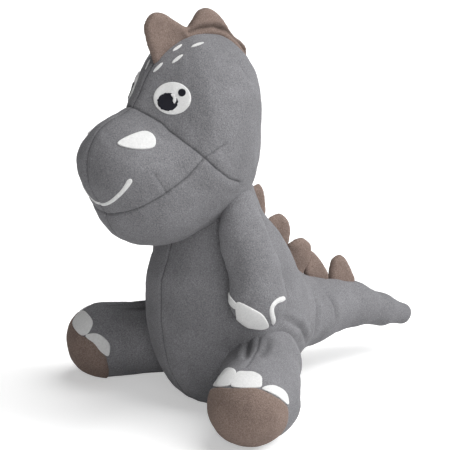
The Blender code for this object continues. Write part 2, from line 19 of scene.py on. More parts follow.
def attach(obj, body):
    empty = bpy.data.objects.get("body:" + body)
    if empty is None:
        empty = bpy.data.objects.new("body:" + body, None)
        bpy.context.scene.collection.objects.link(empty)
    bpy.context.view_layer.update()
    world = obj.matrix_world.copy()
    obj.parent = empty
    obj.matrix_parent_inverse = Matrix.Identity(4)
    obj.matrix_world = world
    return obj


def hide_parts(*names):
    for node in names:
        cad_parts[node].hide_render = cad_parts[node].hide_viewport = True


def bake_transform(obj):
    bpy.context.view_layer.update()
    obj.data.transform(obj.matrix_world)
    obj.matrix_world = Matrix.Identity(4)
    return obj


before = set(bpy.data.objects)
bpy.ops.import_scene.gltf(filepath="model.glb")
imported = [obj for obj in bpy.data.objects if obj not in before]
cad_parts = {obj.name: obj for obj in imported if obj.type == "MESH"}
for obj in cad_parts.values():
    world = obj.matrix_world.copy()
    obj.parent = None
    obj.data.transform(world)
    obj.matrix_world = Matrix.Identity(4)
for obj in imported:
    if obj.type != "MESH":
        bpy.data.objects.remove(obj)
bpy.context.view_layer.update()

# %% [markdown]
# ## Measurements
# These are the maker's measurements, repeated from the solid model: the ball the head sits on,
# the points the limbs turn about, and the spine of each limb as x, y, z and radius.
# Working from the same numbers keeps every soft piece in the space that its solid holds.

# %% Measurements of the toy
NECK, NECK_RADIUS = (0.0, -0.0065, 0.1125), 0.0465
SHOULDER = Vector((0.0375, -0.0175, 0.1305))
SIDE_NORMAL = Vector((0.928, 0.0, 0.371)).normalized()
SIDE_DISTANCE = 0.0776
RIGHT_ARM_BACK = math.radians(27.0)
HIP, FOOT = (0.041, -0.002, 0.036), (0.080, -0.043, 0.0283)
ARM_SPINE = [(0.0300, -0.0130, 0.1450, 0.0125), (*SHOULDER, 0.0145), (0.0410, -0.0180, 0.1220, 0.0165),
             (0.0475, -0.0150, 0.1040, 0.0178), (0.0525, -0.0170, 0.0880, 0.0214)]
LEG_SPINE = [(*HIP, 0.0275), (0.060, -0.022, 0.032, 0.0225), (*FOOT, 0.0262)]
HEEL_SPINE = [(0.058, -0.012, 0.029, 0.0235), (0.0775, -0.0285, 0.0262, 0.0238)]
TAIL_SPINE = [(0, 0.042, 0.052, 0.0335), (0, 0.070, 0.0475, 0.0240), (0, 0.092, 0.0465, 0.0185),
              (0, 0.112, 0.0440, 0.0155), (0, 0.140, 0.0340, 0.0106), (0, 0.160, 0.0270, 0.0081)]
print("arm spine", len(ARM_SPINE), "points, tail spine", len(TAIL_SPINE), "points")

# %% [markdown]
# ## Round forms
# A stuffed part could be modelled by pushing a subdivided cube about, but its pieces melt into
# each other: cheek into muzzle, belly into tail. A distance field describes that well. Each round
# is a formula that is zero on its surface, and `melted` adds rounds with a soft fillet between.

# %% Distance formulas for soft rounds
def round_form(p, centre, radii, power=2.0):
    """Zero on a rounded egg, negative inside it."""
    radii = np.array(radii)
    return (((np.abs((p - np.array(centre)) / radii)) ** power).sum(-1) ** (1 / power) - 1) * radii.min()


def melted(fields, fillet):
    """The union of several rounds, with a fillet where they meet."""
    fields = np.array(fields)
    low = fields.min(0)
    return low - fillet * np.log(np.exp(-(fields - low) / fillet).sum(0))


def pared(form, limit, fillet):
    """A round cut back by a limit, with a soft edge."""
    return -melted([-form, -limit], fillet)


def sleeve(p, start, end):
    """A tube between two balls of different radius."""
    a, b = np.array(start[:3], float), np.array(end[:3], float)
    along = np.clip(((p - a) @ (b - a)) / ((b - a) @ (b - a)), 0, 1)
    off = np.linalg.norm(p - a - along[..., None] * (b - a), axis=-1)
    return off - start[3] - (end[3] - start[3]) * along


def limb(p, spine):
    return melted([sleeve(p, a, b) for a, b in zip(spine, spine[1:])], 0.002)


# %% [markdown]
# ## The four forms
# The head is a crown, a brow, full cheeks, a long muzzle and a jaw. The body is a pear with a flat
# seat, and the tail grows out of it. The arm is pared flat where it slides on the body's side.

# %% Head, body, arm and leg forms
def eased(t):
    t = np.clip(t, 0, 1)
    return t * t * (3 - 2 * t)


def head_form(p):
    """The head; its forehead and the top of its muzzle run to a soft ridge at the middle seam."""
    ridge = eased((p[..., 2] - 0.178) / 0.030) * eased((-0.040 - p[..., 1]) / 0.025)
    ridge = ridge * eased((0.262 - p[..., 2]) / 0.020)
    return 0.0092 * ridge * (np.abs(p[..., 0]) / 0.030) ** 1.5 + melted([
        round_form(p, (0, -0.022, 0.212), (0.038, 0.040, 0.043), 2.1),
        round_form(p, (0, -0.040, 0.204), (0.030, 0.031, 0.036), 2.0),
        round_form(p, (0, -0.028, 0.176), (0.042, 0.043, 0.044), 2.2),
        round_form(p, (0, -0.0765, 0.181), (0.032, 0.0345, 0.029), 2.25),
        round_form(p, (0, -0.059, 0.152), (0.034, 0.037, 0.0308), 2.2),
    ], 0.006)


def side_level(p):
    """Distance out from the slanted side that the arm lies on."""
    flipped = np.stack([np.abs(p[..., 0]), p[..., 1], p[..., 2]], -1)
    return flipped @ np.array(SIDE_NORMAL) - SIDE_DISTANCE


def body_form(p):
    height = np.where(p[..., 2] > 0.066, 0.067, 0.072)
    level = np.stack([p[..., 0] / 0.052, p[..., 1] / 0.0535, (p[..., 2] - 0.066) / height], -1)
    belly = ((np.abs(level) ** 2.05).sum(-1) ** (1 / 2.05) - 1) * 0.052
    chest = sleeve(p, (0, -0.0095, 0.094, 0.0405), (0, -0.0085, 0.148, 0.0265))
    pear = melted([belly, chest], 0.005)
    above = p - np.array(NECK)
    above[..., 2] = np.maximum(above[..., 2], 0)
    under_head = np.linalg.norm(above, axis=-1) - NECK_RADIUS - 0.4 * np.maximum(NECK[2] - p[..., 2], 0)
    pear = pared(pear, under_head, 0.0015)
    pear = pared(pear, side_level(p), 0.003)
    return pared(melted([pear, limb(p, TAIL_SPINE)], 0.006), 0.0004 - p[..., 2], 0.0025)


def arm_form(p):
    return pared(limb(p, ARM_SPINE), -side_level(p), 0.0025)


def leg_form(p):
    return pared(melted([limb(p, LEG_SPINE), limb(p, HEEL_SPINE)], 0.002), 0.033 - p[..., 0], 0.002)


print("head field at its middle:", round(float(head_form(np.array([[0, -0.045, 0.18]]))[0]), 4))

# %% [markdown]
# ## From a form to a skin
# A skin needs small, even faces, so that seams a few millimetres wide can be pressed into it.
# Rough balls are laid along the form and fused by a voxel remesh, which leaves neat squares
# everywhere. The points then walk down the field's slope until they lie on the surface.

# %% Helpers that make a skin
def on_form(form, places, rounds=5):
    """Points moved along the field's slope onto its surface."""
    p = np.array(places, float)
    step = 1e-5
    for _ in range(rounds):
        slope = np.stack([(form(p + step * e) - form(p - step * e)) / (2 * step) for e in np.eye(3)], -1)
        p = p - (form(p) / (slope ** 2).sum(-1))[:, None] * slope
    return p


def places_of(obj):
    spots = np.empty(len(obj.data.vertices) * 3)
    obj.data.vertices.foreach_get("co", spots)
    return spots.reshape(-1, 3)


def put_places(obj, spots):
    obj.data.vertices.foreach_set("co", np.asarray(spots, float).ravel())
    obj.data.update()


def new_piece(name, bm, mirrored=False):
    """A smooth-shaded object from a bmesh, with its faces turned outwards."""
    if mirrored:
        bmesh.ops.scale(bm, vec=(-1, 1, 1), verts=bm.verts)
    bmesh.ops.recalc_face_normals(bm, faces=bm.faces)
    if bm.calc_volume(signed=True) < 0:
        bmesh.ops.reverse_faces(bm, faces=bm.faces)
    mesh = bpy.data.meshes.new(name)
    bm.to_mesh(mesh)
    bm.free()
    mesh.shade_smooth()
    obj = bpy.data.objects.new(name, mesh)
    bpy.context.scene.collection.objects.link(obj)
    return obj


def remeshed(obj, cell):
    step = obj.modifiers.new("squares", "REMESH")
    step.mode = "VOXEL"
    step.voxel_size = cell
    bpy.context.view_layer.update()
    mesh = bpy.data.meshes.new_from_object(obj.evaluated_get(bpy.context.evaluated_depsgraph_get()))
    obj.modifiers.remove(step)
    obj.data = mesh
    mesh.shade_smooth()
    return obj


def edges_of(obj):
    ends = np.empty(len(obj.data.edges) * 2, int)
    obj.data.edges.foreach_get("vertices", ends)
    return ends.reshape(-1, 2)


def relaxed(values, ends, times, share=0.5):
    """Each point's value drawn towards the mean of its neighbours."""
    values = np.array(values, float)
    count = np.bincount(ends.ravel(), minlength=len(values))[:, None]
    for _ in range(times):
        total = np.zeros_like(values)
        np.add.at(total, ends[:, 0], values[ends[:, 1]])
        np.add.at(total, ends[:, 1], values[ends[:, 0]])
        values += share * (total / count - values)
    return values


def make_skin(name, form, balls, cell):
    """An even closed skin on a form, begun from rough balls of centre and radii."""
    bm = bmesh.new()
    for centre, radii in balls:
        ball = bmesh.ops.create_icosphere(bm, subdivisions=3, radius=1.0)["verts"]
        bmesh.ops.scale(bm, vec=radii, verts=ball)
        bmesh.ops.translate(bm, vec=centre, verts=ball)
    skin = new_piece(name, bm)
    for size in (2.2 * cell, cell):
        remeshed(skin, size)
        put_places(skin, on_form(form, places_of(skin)))
    ends = edges_of(skin)
    for _ in range(3):
        put_places(skin, on_form(form, relaxed(places_of(skin), ends, 1), 2))
    print(name, len(skin.data.vertices), "points")
    return skin


def balls_along(spine):
    """Balls close together on a limb's spine, with its radii."""
    spine = np.array(spine, float)
    places = np.linspace(0, len(spine) - 1, 8 * len(spine))
    rows = np.stack([np.interp(places, range(len(spine)), spine[:, i]) for i in range(4)], -1)
    return [(row[:3], (row[3],) * 3) for row in rows]


# %% [markdown]
# ## Cut the skins
# Four skins are enough. The body and the tail are one skin, so that the back flows into the tail
# without a step, and the right arm and leg are mirrored from the left ones later.

# %% Make the plain skins
HEAD_CELL, BODY_CELL, ARM_CELL, LEG_CELL = 0.0013, 0.0014, 0.0011, 0.0012
head = make_skin("head_skin", head_form, [
    ((0, -0.022, 0.212), (0.038, 0.040, 0.043)), ((0, -0.028, 0.176), (0.042, 0.043, 0.044)),
    ((0, -0.0765, 0.181), (0.032, 0.0345, 0.029)), ((0, -0.059, 0.152), (0.034, 0.037, 0.029))], HEAD_CELL)
body = make_skin("body_skin", body_form, [
    ((0, 0, 0.069), (0.050, 0.052, 0.066)), ((0, -0.008, 0.104), (0.036, 0.043, 0.050))]
    + balls_along(TAIL_SPINE), BODY_CELL)
arm = make_skin("arm_skin_left", arm_form, balls_along(ARM_SPINE), ARM_CELL)
leg = make_skin("leg_skin_left", leg_form, balls_along(LEG_SPINE), LEG_CELL)

# %% [markdown]
# ## Seam lines
# On the real toy the fleece dips where two panels are sewn together. Each seam is a line of
# points laid on the form. Lines for one side are used on both, by measuring with x made positive.

# %% Lines of the seams
MM = 0.001


def seam_line(form, points, close=0.0015, loop=False):
    """A polyline on the form, with points close together."""
    points = np.array(points, float) * MM
    if loop:
        points = np.vstack([points, points[:1]])
    steps = np.concatenate([[0], np.cumsum(np.linalg.norm(np.diff(points, axis=0), axis=1))])
    even = np.linspace(0, steps[-1], max(3, int(steps[-1] / close)))
    line = np.stack([np.interp(even, steps, points[:, i]) for i in range(3)], -1)
    return on_form(form, line)


def ring_line(form, middle, first, last, count=90):
    """A line round the form in the middle plane, by angle in degrees from the front upwards."""
    angles = np.radians(np.linspace(first, last, count))
    rays = np.stack([0 * angles, -np.cos(angles), np.sin(angles)], -1)
    near, far = np.zeros(count), np.full(count, 0.3)
    for _ in range(30):
        between = (near + far) / 2
        outside = form(np.array(middle) + rays * between[:, None]) > 0
        near, far = np.where(outside, near, between), np.where(outside, between, far)
    return np.array(middle) + rays * near[:, None]


HEAD_SEAMS = [
    (ring_line(head_form, (0, -0.045, 0.180), 0, 360, 160), 0.0008, 0.0009),
    (seam_line(head_form, [(0, -77, 216), (8.7, -75, 214), (25.4, -67.8, 208), (35.5, -58.1, 195.4),
                           (40.4, -48.4, 185.1), (42.5, -39.7, 176.3), (42.5, -29.2, 167.9),
                           (41, -20, 164)]), 0.0008, 0.0009),
    (seam_line(head_form, [(0, -98, 147), (13.9, -96.8, 150.2), (29, -86.6, 157), (34.9, -73.6, 164.6),
                           (37.6, -59.8, 172.7), (40.2, -49.1, 183.2)]), 0.0008, 0.0009),
    (seam_line(head_form, [(41, -49, 184), (42.6, -34.1, 191.1)]), 0.0008, 0.0005),
    (seam_line(head_form, [(34.9, -73.6, 164.6), (34, -79, 173), (33.2, -82, 178)]), 0.0008, 0.0003),
    (seam_line(head_form, [(28.3, -26, 241.5), (29.2, -12, 238.5), (32.0, -8.5, 231.5)]),
     0.0012, 0.0002),
]
BODY_SEAMS = [
    (ring_line(body_form, (0, 0, 0.070), -80, 100, 120), 0.0008, 0.0009),
    (seam_line(body_form, [(0, 30, 140), (0, 44, 112), (0, 53, 88), (0, 60, 78), (0, 75, 70), (0, 92, 66),
                           (0, 112, 60), (0, 140, 45), (0, 165, 34), (0, 168.5, 27), (0, 160, 20),
                           (0, 140, 23), (0, 112, 28), (0, 80, 24), (0, 60, 20)]), 0.0008, 0.0008),
]
ARM_SEAMS = [
    (seam_line(arm_form, [(57, -2, 100), (62, 3, 86), (66, 0, 74), (66, -12, 66), (62, -26, 66)]),
     0.0008, 0.0006),
]
LEG_SEAMS = [
    (seam_line(leg_form, [(44, -4, 63), (62, -22, 55), (78, -44, 54)]), 0.0008, 0.0006),
    (seam_line(leg_form, [(50, -6, 10), (62, -22, 8), (80, -43, 3)]), 0.0008, 0.0006),
]
print("seam lines:", len(HEAD_SEAMS) + len(BODY_SEAMS) + len(ARM_SEAMS) + len(LEG_SEAMS))

# %% [markdown]
# ## Stuffing by simulation
# Stuffing presses fleece outwards everywhere except at the stitches. Blender's Cloth does the
# same: a coarser copy of each skin, slightly drawn in, is pumped up with pressure while the
# points at the seams are pinned. Its movement, capped at two millimetres, is kept, and is given
# to the fine skin after the seams are pressed in, so that the seams move with the cloth.

# %% Pump up coarse copies with Cloth
def nearest_on(line, p):
    """Distance to a line, the nearest point on it, and how far along that is."""
    best = np.full(len(p), 1e9)
    spot, along = np.zeros_like(p), np.zeros(len(p))
    travelled = 0.0
    for a, b in zip(line, line[1:]):
        span = b - a
        length = np.linalg.norm(span)
        if length < 1e-9:
            continue
        t = np.clip((p - a) @ span / length ** 2, 0, 1)
        q = a + t[:, None] * span
        d = np.linalg.norm(p - q, axis=1)
        closer = d < best
        best = np.where(closer, d, best)
        spot[closer] = q[closer]
        along = np.where(closer, travelled + t * length, along)
        travelled += length
    return best, spot, along


def one_side(p):
    return np.stack([np.abs(p[:, 0]), p[:, 1], p[:, 2]], -1)


def seam_distance(p, seams):
    return np.min([nearest_on(line, one_side(p))[0] for line, *_ in seams], axis=0)


CLOTH_SETTINGS = dict(quality=6, mass=0.06, tension_stiffness=12, compression_stiffness=12, shear_stiffness=4,
                      bending_stiffness=0.3, vertex_group_mass="sewn", use_pressure=True)


def pumped(jobs, drawn_in=0.0003, cap=0.0020, frames=20):
    """The movement of each skin's coarse copy under pressure: start places and moves."""
    copies = []
    for skin, seams, cell, pressure, held in jobs:
        copy = bpy.data.objects.new(skin.name + "_pump", skin.data.copy())
        bpy.context.scene.collection.objects.link(copy)
        remeshed(copy, cell)
        start = places_of(copy)
        inward = np.array([v.normal for v in copy.data.vertices]) * drawn_in
        put_places(copy, start - inward)
        sewn = copy.vertex_groups.new(name="sewn")
        close = seam_distance(start, seams)
        close[held(start)] = 0
        for i, d in enumerate(close):
            if d < 0.006:
                sewn.add([i], float(math.exp(-(d / 0.0028) ** 2)), "REPLACE")
        cloth = copy.modifiers.new("Cloth", "CLOTH")
        for setting, value in CLOTH_SETTINGS.items():
            setattr(cloth.settings, setting, value)
        cloth.settings.uniform_pressure_force = pressure
        cloth.settings.effector_weights.gravity = 0
        cloth.point_cache.frame_end = frames
        copies.append((copy, start))
    for f in range(1, frames + 1):
        bpy.context.scene.frame_set(f)
    graph = bpy.context.evaluated_depsgraph_get()
    results = []
    for copy, start in copies:
        mesh = copy.evaluated_get(graph).to_mesh()
        end = np.array([v.co for v in mesh.vertices])
        move = relaxed(end - start, edges_of(copy), 2)
        size = np.linalg.norm(move, axis=1)
        move *= np.minimum(1, cap / np.maximum(size, 1e-9))[:, None]
        out = (move * np.array([v.normal for v in copy.data.vertices])).sum(-1) * 1000
        print(copy.name, "moved out by", out.min().round(2), "to", out.max().round(2), "mm, mean",
              out.mean().round(2))
        results.append((start, move))
        bpy.data.objects.remove(copy)
    bpy.context.scene.frame_set(1)
    return results


def carry_over(skin, start, move):
    """Give a fine skin the movement of its coarse copy."""
    tree = kdtree.KDTree(len(start))
    for i, place in enumerate(start):
        tree.insert(place, i)
    tree.balance()
    spots = places_of(skin)
    carried = np.zeros_like(spots)
    for i, spot in enumerate(spots):
        near = tree.find_n(spot, 6)
        weights = np.array([1 / (d + 0.0008) ** 2 for _, _, d in near])
        carried[i] = weights @ move[[n for _, n, _ in near]] / weights.sum()
    put_places(skin, spots + relaxed(carried, edges_of(skin), 4))


moves = []
moves = pumped([(head, HEAD_SEAMS, 0.004, 400.0, lambda p: p[:, 2] < 0.136),
                (body, BODY_SEAMS, 0.004, 400.0, lambda p: (p[:, 2] < 0.001) | (p[:, 2] > 0.150)),
                (arm, ARM_SEAMS, 0.004, 400.0, lambda p: side_level(p) < 0.001),
                (leg, LEG_SEAMS, 0.004, 600.0, lambda p: p[:, 0] < 0.034)])

# %% [markdown]
# ## Press in the seams
# A seam is a narrow valley with a soft swelling on both sides, and it puckers a little along its
# length. Points that lie almost on the line are first drawn onto it, so the valley runs clean.
# Broad, gentle dents are added too, because stuffing is never quite even.

# %% Sew the seams into the skins
def normals_of(obj):
    flat = np.empty(len(obj.data.vertices) * 3)
    obj.data.vertex_normals.foreach_get("vector", flat)
    return flat.reshape(-1, 3)


def lumps(p, size, seed):
    """Smooth noise between -1 and 1 with features of the given size."""
    shift = Vector((seed * 7.3, seed * 3.1, seed * 5.7))
    return np.array([noise.noise(Vector(q) / size + shift) for q in p])


def finer_near(skin, seams, reach=0.0026):
    """Halve the squares that lie close to a seam."""
    bm = bmesh.new()
    bm.from_mesh(skin.data)
    near = seam_distance(places_of(skin), seams) < reach
    bm.verts.ensure_lookup_table()
    edges = [e for e in bm.edges if near[e.verts[0].index] and near[e.verts[1].index]]
    bmesh.ops.subdivide_edges(bm, edges=edges, cuts=1, use_grid_fill=True)
    bm.to_mesh(skin.data)
    bm.free()
    skin.data.shade_smooth()


def sew(skin, seams, cell, folds=(), seed=1):
    """Press seams and folds into a skin, and store painted shade along them for the material."""
    finer_near(skin, seams)
    spots, out = places_of(skin), normals_of(skin)
    side = np.where(spots[:, 0] < 0, -1.0, 1.0)
    painted_shade = np.zeros(len(spots))
    drop = np.zeros(len(spots))
    for line, width, depth in seams:
        d, near, along = nearest_on(line, one_side(spots))
        onto_line = d < 0.225 * cell
        pull = np.stack([near[:, 0] * side, near[:, 1], near[:, 2]], -1) - spots
        spots[onto_line] += (pull - out * (pull * out).sum(-1)[:, None])[onto_line]
        pucker = 1 + 0.35 * np.sin(along / 0.0024 + 2 * np.sin(along / 0.011))
        drop -= depth * np.exp(-(d / width) ** 2)
        drop -= 0.00016 * pucker * np.exp(-(d / 0.003) ** 2)
        drop += 0.0002 * np.exp(-((d - 0.0040) / 0.0025) ** 2)
        # painted shade: the colour is darkened along the seam's valley
        painted_shade = np.maximum(painted_shade, min(1, depth / 0.0008) * np.exp(-(d / 0.0005) ** 2))
    for line, width, depth in folds:
        d, _, along = nearest_on(line, one_side(spots))
        length = along.max() or 1
        fade = np.sin(math.pi * np.clip(along / length, 0, 1)) ** 0.5
        drop -= depth * fade * np.exp(-(d / width) ** 2)
        drop += 0.45 * depth * fade * np.exp(-((d - 2.2 * width) / (1.2 * width)) ** 2)
        # painted shade: the colour is darkened along the fold's crease
        painted_shade = np.maximum(painted_shade, 0.35 * fade * np.exp(-(d / (0.6 * width)) ** 2))
    drop += 0.0006 * lumps(spots, 0.016, seed) + 0.0003 * lumps(spots, 0.007, seed + 1)
    drop += 0.00010 * lumps(spots, 0.0016, seed + 2)
    put_places(skin, spots + out * drop[:, None])
    # the painted shade of seams and folds is stored in the sewn attribute for the fleece material
    layer = skin.data.attributes.new("sewn", "FLOAT", "POINT")
    layer.data.foreach_set("value", painted_shade.astype(np.float32))
    print(skin.name, "seams", len(seams), "folds", len(folds))


BODY_FOLDS = [
    (seam_line(body_form, [(52, 7.8, 68.9), (43.6, 30.4, 55.5), (32, 43.8, 38)]), 0.0022, 0.0016),
    (seam_line(body_form, [(22.3, 58.6, 70.4), (30.5, 54.7, 51.8), (29, 54, 40)]), 0.0022, 0.0012),
    (seam_line(body_form, [(18.7, 72.5, 66.6), (22.5, 78.4, 56), (22, 78, 44)]), 0.0020, 0.0010),
]
LEG_FOLDS = [
    (seam_line(leg_form, [(46, -17, 60), (56, -27, 57.5), (67, -36, 55)]), 0.0022, 0.0018),
    (seam_line(leg_form, [(55, -6.5, 59.6), (64, -17, 54), (70, -27, 52)]), 0.0020, 0.0012),
]
sew(head, HEAD_SEAMS, HEAD_CELL, seed=1)
sew(body, BODY_SEAMS, BODY_CELL, BODY_FOLDS, seed=4)
sew(arm, ARM_SEAMS, ARM_CELL, seed=7)
sew(leg, LEG_SEAMS, LEG_CELL, LEG_FOLDS, seed=10)
for skin, (start, move) in zip((head, body, arm, leg), moves):
    carry_over(skin, start, move)

# %% [markdown]
# ## The other arm and leg
# The toy is sewn from mirrored patterns, so the right limbs are mirrored meshes. The right arm
# is also swung back about its shoulder, which is how it hangs at rest.

# %% Mirror the limbs
def mirrored_piece(source, name, turn=Matrix()):
    """A mirrored copy of a left piece, turned first."""
    bm = bmesh.new()
    bm.from_mesh(source.data)
    bmesh.ops.transform(bm, matrix=turn, verts=bm.verts)
    return new_piece(name, bm, mirrored=True)


SWUNG_BACK = (Matrix.Translation(SHOULDER) @ Matrix.Rotation(RIGHT_ARM_BACK, 4, SIDE_NORMAL)
              @ Matrix.Translation(-SHOULDER))
print("the right arm hangs", round(math.degrees(RIGHT_ARM_BACK)), "degrees further back")

# %% [markdown]
# ## Grey fleece
# The cloth is a short-pile knit of dark and light fibres. At arm's length that reads as a fine
# mottle, a velvety edge where the pile catches the light, and no shine at all. Two sizes of noise
# mix three greys, a third gives brushed patches, and the sheen stands for the pile. Painted shade
# darkens the colour along the seams and folds.

# %% Fleece materials
def put(node, **values):
    """Set a node's plain inputs; underscores stand for the spaces in their names."""
    for name, value in values.items():
        node.inputs[name.replace("_", " ")].default_value = value


def shader_nodes(name):
    mat = bpy.data.materials.new(name)
    mat.use_nodes = True
    tree = mat.node_tree
    return mat, tree, tree.nodes["Principled BSDF"]


def noise_of(tree, scale, detail=2.0, distortion=0.0):
    where = tree.nodes.new("ShaderNodeTexCoord")
    tex = tree.nodes.new("ShaderNodeTexNoise")
    put(tex, Scale=scale, Detail=detail, Distortion=distortion)
    tree.links.new(where.outputs["Object"], tex.inputs["Vector"])
    return tex.outputs["Fac"]


def ramp_of(tree, source, *stops):
    ramp = tree.nodes.new("ShaderNodeValToRGB")
    while len(ramp.color_ramp.elements) < len(stops):
        ramp.color_ramp.elements.new(0.5)
    for element, (place, shade) in zip(ramp.color_ramp.elements, stops):
        element.position = place
        element.color = (*shade, 1)
    tree.links.new(source, ramp.inputs["Fac"])
    return ramp.outputs["Color"]


def grey(value):
    return (value,) * 3


def times(tree, first, second, factor=1.0):
    mix = tree.nodes.new("ShaderNodeMix")
    mix.data_type, mix.blend_type = "RGBA", "MULTIPLY"
    put(mix, Factor=factor)
    tree.links.new(first, mix.inputs["A"])
    tree.links.new(second, mix.inputs["B"])
    return mix.outputs["Result"]


def number_of(tree, attribute):
    node = tree.nodes.new("ShaderNodeAttribute")
    node.attribute_name = attribute
    return node.outputs["Fac"]


def bumped(tree, shader, height, strength, distance):
    bump = tree.nodes.new("ShaderNodeBump")
    put(bump, Strength=strength, Distance=distance)
    tree.links.new(height, bump.inputs["Height"])
    tree.links.new(bump.outputs["Normal"], shader.inputs["Normal"])


def fleece(name, dark, middle, light):
    mat, tree, shader = shader_nodes(name)
    mottle = ramp_of(tree, noise_of(tree, 1300, 3, 0.4), (0.30, dark), (0.50, middle), (0.72, light))
    fibres = ramp_of(tree, noise_of(tree, 3200, 2, 1.2), (0.30, grey(0.76)), (0.70, grey(1.20)))
    brushed = ramp_of(tree, noise_of(tree, 45, 2, 0.6), (0.30, grey(0.90)), (0.70, grey(1.08)))
    # painted shade: the base colour falls to half along seams and folds, where their valleys lie in shade
    seam = ramp_of(tree, number_of(tree, "sewn"), (0.0, grey(1)), (1.0, grey(0.50)))
    colour = times(tree, times(tree, mottle, fibres, 0.8), brushed)
    tree.links.new(times(tree, colour, seam), shader.inputs["Base Color"])
    put(shader, Roughness=0.95, Specular_IOR_Level=0.15, Sheen_Weight=0.2, Sheen_Roughness=0.45,
        Sheen_Tint=(*[min(1, 2.2 * c) for c in light], 1))
    bumped(tree, shader, noise_of(tree, 1300, 3, 0.8), 0.55, 0.0006)
    return mat


GREY = fleece("grey_pile", (0.122, 0.121, 0.128), (0.172, 0.171, 0.180), (0.236, 0.235, 0.245))
BROWN = fleece("brown_pile", (0.130, 0.094, 0.080), (0.190, 0.142, 0.121), (0.255, 0.196, 0.170))
print("fleece materials:", GREY.name, BROWN.name)

# %% [markdown]
# ## Embroidery thread
# Satin stitch lays shiny rayon thread side by side. The thread direction is stored on each patch
# as a number that grows across the threads, so a wave of that number draws every thread.

# %% Thread materials
def thread(name, colour, groove, roughness, shine, sheen):
    mat, tree, shader = shader_nodes(name)
    add, wave = tree.nodes.new("ShaderNodeMath"), tree.nodes.new("ShaderNodeMath")
    add.operation, wave.operation = "MULTIPLY_ADD", "SINE"
    add.inputs[1].default_value = 1.6
    tree.links.new(noise_of(tree, 500, 2), add.inputs[0])
    tree.links.new(number_of(tree, "across"), add.inputs[2])
    tree.links.new(add.outputs[0], wave.inputs[0])
    shade = ramp_of(tree, wave.outputs[0], (0.0, groove), (0.55, colour))
    uneven = ramp_of(tree, noise_of(tree, 700, 2), (0.3, grey(0.90)), (0.7, grey(1.0)))
    tree.links.new(times(tree, shade, uneven), shader.inputs["Base Color"])
    put(shader, Roughness=roughness, Specular_IOR_Level=shine, Sheen_Weight=sheen)
    bumped(tree, shader, wave.outputs[0], 0.6, 0.00025)
    return mat


WHITE = thread("white_satin", (0.89, 0.89, 0.88), (0.72, 0.72, 0.72), 0.42, 0.45, 0.35)
BLACK = thread("black_satin", (0.014, 0.013, 0.024), (0.006, 0.006, 0.010), 0.5, 0.2, 0.0)
print("thread materials:", WHITE.name, BLACK.name)

# %% [markdown]
# ## Embroidered patches
# A patch follows the skin and stands about half a millimetre proud, with a rolled edge. Rings of
# points shrink from the outline to its middle; each point is dropped onto the skin with a ray,
# lifted by the thread's thickness, and the patch is closed underneath.

# %% Helpers that embroider
def outward(azimuth, elevation):
    """Unit direction away from the toy; azimuth 0 is its front, 90 its left side."""
    a, e = math.radians(azimuth), math.radians(elevation)
    return Vector((math.sin(a) * math.cos(e), -math.cos(a) * math.cos(e), math.sin(e)))


def rounded(points, count):
    """A closed smooth curve through the points, evenly sampled."""
    points = np.array(points, float)
    n = len(points)
    fine = []
    for i in range(n):
        a, b, c, d = points[i - 1], points[i], points[(i + 1) % n], points[(i + 2) % n]
        for t in np.linspace(0, 1, 16, endpoint=False):
            fine.append(0.5 * (2 * b + (c - a) * t + (2 * a - 5 * b + 4 * c - d) * t ** 2
                               + (3 * b - a - 3 * c + d) * t ** 3))
    fine = np.array(fine + fine[:1])
    steps = np.concatenate([[0], np.cumsum(np.linalg.norm(np.diff(fine, axis=0), axis=1))])
    even = np.linspace(0, steps[-1], count, endpoint=False)
    return np.stack([np.interp(even, steps, fine[:, i]) for i in range(fine.shape[1])], -1)


def skin_tree(obj):
    bm = bmesh.new()
    bm.from_mesh(obj.data)
    tree = BVHTree.FromBMesh(bm)
    bm.free()
    return tree


def onto(point, azimuth, elevation):
    """Aims at a skin from outside: (u, v) in mm on a card held in front of it becomes a ray."""
    out = outward(azimuth, elevation)
    right = outward(azimuth + 90, 0)
    up = out.cross(right)

    def aim(u, v):
        return Vector(point) + (right * u + up * v) * MM + out * 0.02, -out
    return aim


STITCH_WAVE = 0.08  # mm across the threads for one radian of their wave


def stitched(piece, mat, across, body):
    """Thread on a patch: its material, its stitch direction, and the body it rides on."""
    piece.data.attributes.new("across", "FLOAT", "POINT").data.foreach_set("value", across)
    piece.data.materials.append(mat)
    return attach(piece, body)


def drop_on(tree, aim, u, v):
    """The skin point at (u, v), and the skin's normal there."""
    start, ray = aim(u, v)
    hit, normal, *_ = tree.ray_cast(start, ray, 0.06)
    if hit is None:
        hit, normal, *_ = tree.find_nearest(start + ray * 0.02)
    return hit, normal


